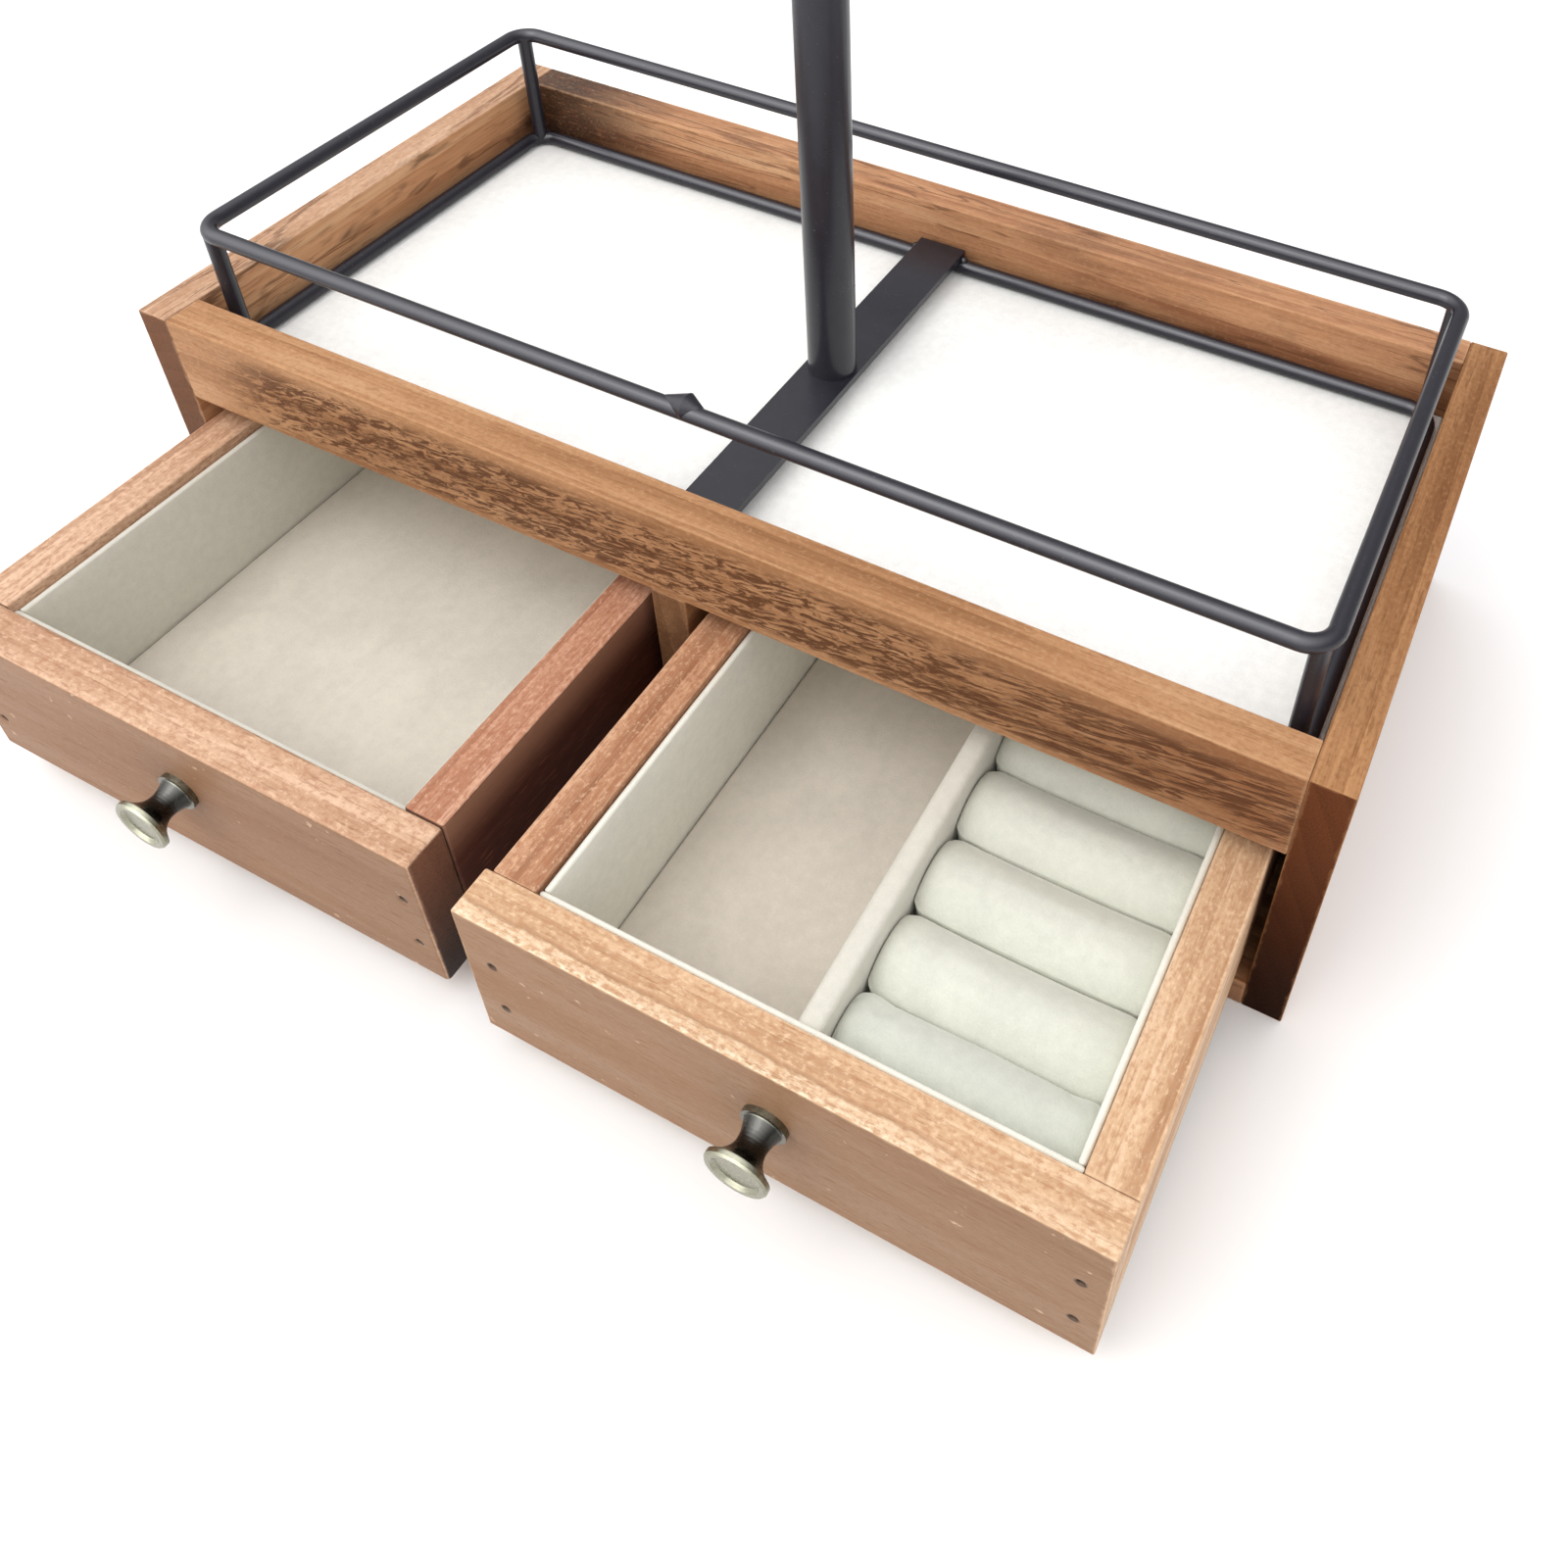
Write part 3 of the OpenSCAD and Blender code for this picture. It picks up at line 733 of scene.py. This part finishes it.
def make_tray_pad():
    """Cream velvet over thin foam, pressed in a little where the rack's lower wire stands on it."""
    low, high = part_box("tray_pad")
    wire_low, wire_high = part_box("rack_lower_rail")
    wire = (wire_high.z - wire_low.z) / 2
    size = high - low

    def swell(point):
        near_wire = loop_gap(point, wire_high.x - wire, wire_high.y - wire)
        pressed = max(0.0, 1 - (near_wire / PRESS_REACH) ** 2)
        uneven = 0.10 * wobble(point, 38 * MM, 1) + 0.06 * wobble(point, 9 * MM, 2)
        return (0.18 + uneven) * MM - PRESS_DEPTH * pressed

    bm = bmesh.new()
    add_panel(
        bm, low, (1, 0, 0), (0, 1, 0), (0, 0, 1), size,
        radius=0.9 * MM, cell=2.2 * MM, swell=swell, back_radius=0.2 * MM,
    )
    cover = velvet("velvet_cream", (0.90, 0.895, 0.865), seed=1, patchy=0.4)
    pad = piece_from(bm, "tray_pad_velvet", "case", cover, "pad_velvet", "tray_pad")


WALL_T = 1.5 * MM
FLOOR_T = 2.5 * MM
FLOOR_GAP = 0.25 * MM
LINER_SEEDS = {"left": 3, "right": 7}


def make_liner(side, wall_cover, floor_cover):
    """Velvet-covered card walls with turned-over top edges round a velvet-covered floor."""
    body = side + "_drawer"
    node = body + "_liner"
    low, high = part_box(node)
    size = high - low
    seed = LINER_SEEDS[side]

    def swell(point):
        return 0.09 * MM * (wobble(point, 16 * MM, seed) + 0.6)

    bm = bmesh.new()
    inner_l = size.y - 2 * WALL_T
    up = (0, 0, 1)
    walls = (
        ((low.x, low.y + WALL_T, low.z), (0, 1, 0), (1, 0, 0), inner_l),
        ((high.x, low.y + WALL_T, low.z), (0, 1, 0), (-1, 0, 0), inner_l),
        ((low.x, low.y, low.z), (1, 0, 0), (0, 1, 0), size.x),
        ((low.x, high.y, low.z), (1, 0, 0), (0, -1, 0), size.x),
    )
    for origin, along, out, length in walls:
        shape = (length, size.z, WALL_T)
        add_panel(bm, origin, along, up, out, shape, radius=0.7 * MM, cell=2.5 * MM, swell=swell)
    lined = piece_from(bm, node + "_walls", body, wall_cover, "liner_velvet", node)

    def floor_swell(point):
        return 0.16 * MM * (wobble(point, 30 * MM, seed + 1) + 0.4)

    bm = bmesh.new()
    gap = WALL_T + FLOOR_GAP
    corner = (low.x + gap, low.y + gap, low.z)
    floor_size = (size.x - 2 * gap, size.y - 2 * gap, FLOOR_T)
    add_panel(
        bm, corner, (1, 0, 0), (0, 1, 0), up, floor_size,
        radius=0.9 * MM, cell=3 * MM, swell=floor_swell, back_radius=0.2 * MM,
    )
    floor = piece_from(bm, node + "_floor", body, floor_cover, "liner_velvet", node)


def make_divider(cover):
    """Thick card wrapped in velvet, standing between the open half and the ring rolls."""
    low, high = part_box("right_drawer_divider")
    size = high - low

    def swell(point):
        return 0.12 * MM * wobble(point, 14 * MM, 11)

    bm = bmesh.new()
    shape = (size.y, size.z, size.x)
    add_panel(
        bm, low, (0, 1, 0), (0, 0, 1), (1, 0, 0), shape, radius=1.5 * MM, cell=2.5 * MM, swell=swell
    )
    divider = piece_from(
        bm, "right_drawer_divider_velvet", "right_drawer", cover, "divider_velvet", "right_drawer_divider"
    )


CREST_RADIUS = 11 * MM
CREST_STEPS = 24
SIDE_STEPS = 12
BASE_STEPS = 10
ROLL_CELL = 1.6 * MM
END_PLACES = tuple(place * MM for place in (0.0, 0.15, 0.45, 0.9, 1.6, 2.6, 4.0))
END_NARROWER = 1.9 * MM
END_LOWER = 1.3 * MM
RIGHT_END_SHARE = 0.4


def roll_outline(low, high, narrower, lower):
    """The roll's section seen from its end: flat on the floor, straight sides and an arched crest."""
    half = (high.y - low.y) / 2 - narrower
    middle, top = (low.y + high.y) / 2, high.z - lower

    def crest_height(off):
        return top - CREST_RADIUS + math.sqrt(CREST_RADIUS**2 - off**2)

    shoulder = crest_height(half)
    offs = [half * math.cos(math.pi * i / CREST_STEPS) for i in range(CREST_STEPS + 1)]
    crest = [(middle + off, crest_height(off)) for off in offs]
    drops = [(shoulder - low.z) * i / SIDE_STEPS for i in range(1, SIDE_STEPS)]
    down = [(middle - half, shoulder - drop) for drop in drops]
    base = [(middle - half + 2 * half * i / BASE_STEPS, low.z) for i in range(BASE_STEPS + 1)]
    rise = [(middle + half, low.z + drop) for drop in drops]
    return crest + down + base + rise


def make_roll(number, cover):
    """A foam bar in velvet. Its left end is rounded against the divider, its right end hardly at all."""
    node = f"ring_roll_{number}"
    low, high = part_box(node)
    length = high.x - low.x
    reach = END_PLACES[-1]
    count = round((length - 2 * reach) / ROLL_CELL)
    inner = [reach + i * (length - 2 * reach) / count for i in range(1, count)]
    places = [*END_PLACES, *inner, *(length - place for place in reversed(END_PLACES))]
    bm = bmesh.new()
    rings = []
    for place in places:
        left = rounding(place, reach) / reach
        right = rounding(length - place, RIGHT_END_SHARE * reach) / reach
        bend = max(left, right)
        outline = roll_outline(low, high, END_NARROWER * bend, END_LOWER * bend)
        rings.append([bm.verts.new((low.x + place, y, z)) for y, z in outline])
    for ring, after in zip(rings, rings[1:]):
        for i in range(len(ring)):
            j = (i + 1) % len(ring)
            bm.faces.new((ring[i], ring[j], after[j], after[i]))
    for ring in (rings[0], rings[-1]):
        cap = bm.faces.new(ring)
        bmesh.ops.poke(bm, faces=[cap])
    roll = piece_from(bm, node + "_velvet", "right_drawer", cover, "roll_velvet", node)
    return roll, low, high


SIM_SCALE = 10
SIM_FRAMES = 16
FARTHEST_PUFF = 0.5 * MM


def inflate(rolls):
    """Puffs the rolls with cloth pressure, ten times as large so that the solver is stable.

    No point moves further than FARTHEST_PUFF or leaves the box that the roll's CAD solid fills.
    """
    scene = bpy.context.scene
    scene.frame_start, scene.frame_end = 1, SIM_FRAMES
    before = {}
    for roll, _, _ in rolls:
        before[roll] = [v.co.copy() for v in roll.data.vertices]
        for vertex in roll.data.vertices:
            vertex.co *= SIM_SCALE
        cloth = roll.modifiers.new("puff", "CLOTH")
        cloth.settings.quality = 6
        cloth.settings.use_pressure = True
        cloth.settings.uniform_pressure_force = 5.0
        cloth.settings.effector_weights.gravity = 0
        cloth.settings.tension_stiffness = 20
        cloth.settings.compression_stiffness = 20
        cloth.settings.bending_stiffness = 0.6
        cloth.point_cache.frame_start, cloth.point_cache.frame_end = 1, SIM_FRAMES
    for number in range(1, SIM_FRAMES + 1):
        scene.frame_set(number)
    graph = bpy.context.evaluated_depsgraph_get()
    for roll, low, high in rolls:
        puffed = [v.co / SIM_SCALE for v in roll.evaluated_get(graph).data.vertices]
        roll.modifiers.clear()
        for vertex, start, end in zip(roll.data.vertices, before[roll], puffed):
            move = end - start
            if move.length > FARTHEST_PUFF:
                move *= FARTHEST_PUFF / move.length
            place = start + move
            vertex.co = Vector(min(max(c, a), b) for c, a, b in zip(place, low, high))
        roll.data.update()
    scene.frame_set(1)


def make_velvets():
    make_tray_pad()
    walls_left = velvet("velvet_grey_green", (0.71, 0.69, 0.605), seed=2, patchy=0.5)
    walls_right = velvet("velvet_pale_green", (0.82, 0.805, 0.710), seed=8, patchy=0.5)
    floor_left = velvet("velvet_beige", (0.72, 0.670, 0.585), seed=3, patchy=0.8)
    floor_right = velvet("velvet_beige_dark", (0.70, 0.640, 0.555), seed=4, patchy=0.8)
    make_liner("left", walls_left, floor_left)
    make_liner("right", walls_right, floor_right)
    make_divider(velvet("velvet_divider", (0.66, 0.635, 0.555), seed=5, patchy=0.5))
    cover = velvet("velvet_rolls", (0.66, 0.665, 0.580), seed=6, patchy=0.7)
    # The front roll's darker, cooler velvet is painted shade
    shaded_front_cover = velvet("velvet_front_roll_painted_shade", (0.61, 0.625, 0.55), seed=9, patchy=0.7)
    rolls = [make_roll(1, shaded_front_cover)] + [make_roll(number, cover) for number in range(2, 7)]
    inflate(rolls)


# ---------------------------------------------------------------- stage, light and camera


FLOOR_REACH = 4.0
OBJECT_MIDDLE = (0, -0.03, 0.08)


def make_floor():
    far = FLOOR_REACH
    mesh = bpy.data.meshes.new("floor")
    mesh.from_pydata([(-far, -far, 0), (far, -far, 0), (far, far, 0), (-far, far, 0)], [], [(0, 1, 2, 3)])
    g = Graph("pale_floor")
    mesh.materials.append(g.finish(Base_Color=(0.91, 0.91, 0.905), Roughness=0.55, Specular_IOR_Level=0.2))
    floor = bpy.data.objects.new("floor", mesh)
    bpy.context.scene.collection.objects.link(floor)


def softbox(name, place, size, watts, tint):
    """A square soft light aimed at the middle of the object."""
    light = bpy.data.lights.new(name, "AREA")
    light.shape = "SQUARE"
    light.size = size
    light.energy = watts
    light.color = tint
    lamp = bpy.data.objects.new(name, light)
    lamp.location = place
    towards = Vector(OBJECT_MIDDLE) - lamp.location
    lamp.rotation_mode = "QUATERNION"
    lamp.rotation_quaternion = towards.to_track_quat("-Z", "Y")
    bpy.context.scene.collection.objects.link(lamp)


# Direction of the sky's bright side, least and most brightness, and the power of the rise between
MIRRORED_SKY = ((-0.25, -0.55, 0.80), 0.5, 7.0, 2)
DIFFUSE_SKY = ((0, 0, 1), 0.97, 1.40, 1)
SEEN_SKY = 1.0


def sky_gradient(tree, direction, towards, least, most, power):
    """World brightness that rises towards one side of the sky."""
    along = tree.nodes.new("ShaderNodeVectorMath")
    along.operation = "DOT_PRODUCT"
    along.inputs[1].default_value = Vector(towards).normalized()
    tree.links.new(direction, along.inputs[0])
    above = tree.nodes.new("ShaderNodeMath")
    above.operation = "MAXIMUM"
    above.inputs[1].default_value = 0.0
    tree.links.new(along.outputs["Value"], above.inputs[0])
    rise = tree.nodes.new("ShaderNodeMath")
    rise.operation = "POWER"
    rise.inputs[1].default_value = power
    tree.links.new(above.outputs[0], rise.inputs[0])
    level = tree.nodes.new("ShaderNodeMapRange")
    tree.links.new(rise.outputs[0], level.inputs[0])
    level.inputs[3].default_value, level.inputs[4].default_value = least, most
    return level.outputs[0]


def sky_strength(tree):
    """World brightness by kind of ray: even for the camera, brighter on one side for the others."""
    direction = tree.nodes.new("ShaderNodeTexCoord").outputs["Generated"]
    path = tree.nodes.new("ShaderNodeLightPath")
    by_ray = tree.nodes.new("ShaderNodeMix")
    tree.links.new(path.outputs["Is Glossy Ray"], by_ray.inputs[0])
    tree.links.new(sky_gradient(tree, direction, *DIFFUSE_SKY), by_ray.inputs[2])
    tree.links.new(sky_gradient(tree, direction, *MIRRORED_SKY), by_ray.inputs[3])
    seen = tree.nodes.new("ShaderNodeMix")
    tree.links.new(path.outputs["Is Camera Ray"], seen.inputs[0])
    tree.links.new(by_ray.outputs[0], seen.inputs[2])
    seen.inputs[3].default_value = SEEN_SKY
    return seen.outputs[0]


def make_light():
    """A white tent, brighter overhead, with a large soft key light from the upper left."""
    world = bpy.data.worlds.new("studio")
    world.use_nodes = True
    tree = world.node_tree
    sky = tree.nodes["Background"]
    sky.inputs["Color"].default_value = (0.98, 0.985, 1.0, 1)
    tree.links.new(sky_strength(tree), sky.inputs["Strength"])
    bpy.context.scene.world = world
    softbox("key", place=(-0.35, -0.65, 1.20), size=0.8, watts=6.5, tint=(1.0, 0.985, 0.965))
    bpy.context.scene.view_settings.view_transform = "Standard"


def make_camera():
    """A phone held up to the front right, tilted a little; the shift is the crop of a taller picture."""
    azimuth, elevation, roll = (math.radians(a) for a in (23.8, 40.1, 3.0))
    distance = 345.2 * MM
    target = Vector((41.7, -2.2, 81.0)) * MM
    back = Vector(
        (
            math.sin(azimuth) * math.cos(elevation),
            -math.cos(azimuth) * math.cos(elevation),
            math.sin(elevation),
        )
    )
    data = bpy.data.cameras.new("camera")
    data.sensor_width = 36
    data.lens = 33.9
    data.shift_x = -0.126
    data.shift_y = -0.252
    data.clip_start = 0.01
    camera = bpy.data.objects.new("camera", data)
    camera.location = target + back * distance
    camera.rotation_mode = "QUATERNION"
    camera.rotation_quaternion = back.to_track_quat("Z", "Y") @ Quaternion((0, 0, 1), roll)
    bpy.context.scene.collection.objects.link(camera)
    bpy.context.scene.camera = camera


finish_cad_nodes()
make_velvets()
make_floor()
make_light()
make_camera()
